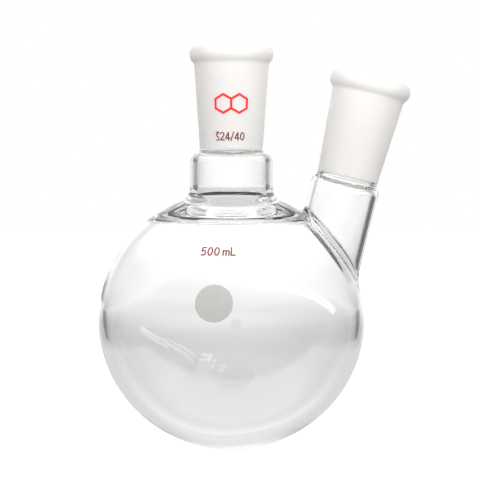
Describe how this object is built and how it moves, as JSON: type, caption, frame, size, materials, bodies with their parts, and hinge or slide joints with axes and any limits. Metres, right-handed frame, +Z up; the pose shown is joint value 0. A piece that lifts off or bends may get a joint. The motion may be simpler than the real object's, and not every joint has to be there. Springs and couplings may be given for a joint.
{
  "type": "two-neck round bottom flask",
  "caption": "Clear glass round bottom flask with an upright centre neck and a leaning side neck, each ending in a ground tapered socket with a rolled rim.",
  "frame": {"origin": "lowest point of the bulb, on the centre neck's axis", "axes": "+Z up along the centre neck; +X towards the side neck, which leans 13.9 degrees from +Z in the XZ plane; the printed marks face -Y"},
  "size_m": [0.1229, 0.1051, 0.1586],
  "materials": {
    "clear_glass": "clear, fire polished",
    "ground_glass": "ground inside, so it looks frosted",
    "grey_enamel": "matt fired enamel",
    "brick_enamel": "satin fired enamel",
    "maroon_enamel": "satin fired enamel",
    "red_enamel": "satin fired enamel"
  },
  "bodies": {
    "root": {"bulb": "clear_glass", "centre_neck_collar": "clear_glass", "centre_neck_tube": "clear_glass", "side_neck_weld_ring": "clear_glass", "side_neck_tube": "clear_glass", "centre_socket": "ground_glass", "side_socket": "ground_glass", "marking_spot": "grey_enamel", "capacity_mark_5": "brick_enamel", "capacity_mark_0_a": "brick_enamel", "capacity_mark_0_b": "brick_enamel", "capacity_mark_m": "brick_enamel", "capacity_mark_L": "brick_enamel", "joint_mark_taper": "maroon_enamel", "joint_mark_2": "maroon_enamel", "joint_mark_4_a": "maroon_enamel", "joint_mark_slash": "maroon_enamel", "joint_mark_4_b": "maroon_enamel", "joint_mark_0": "maroon_enamel", "emblem": "red_enamel"}
  },
  "joints": []
}
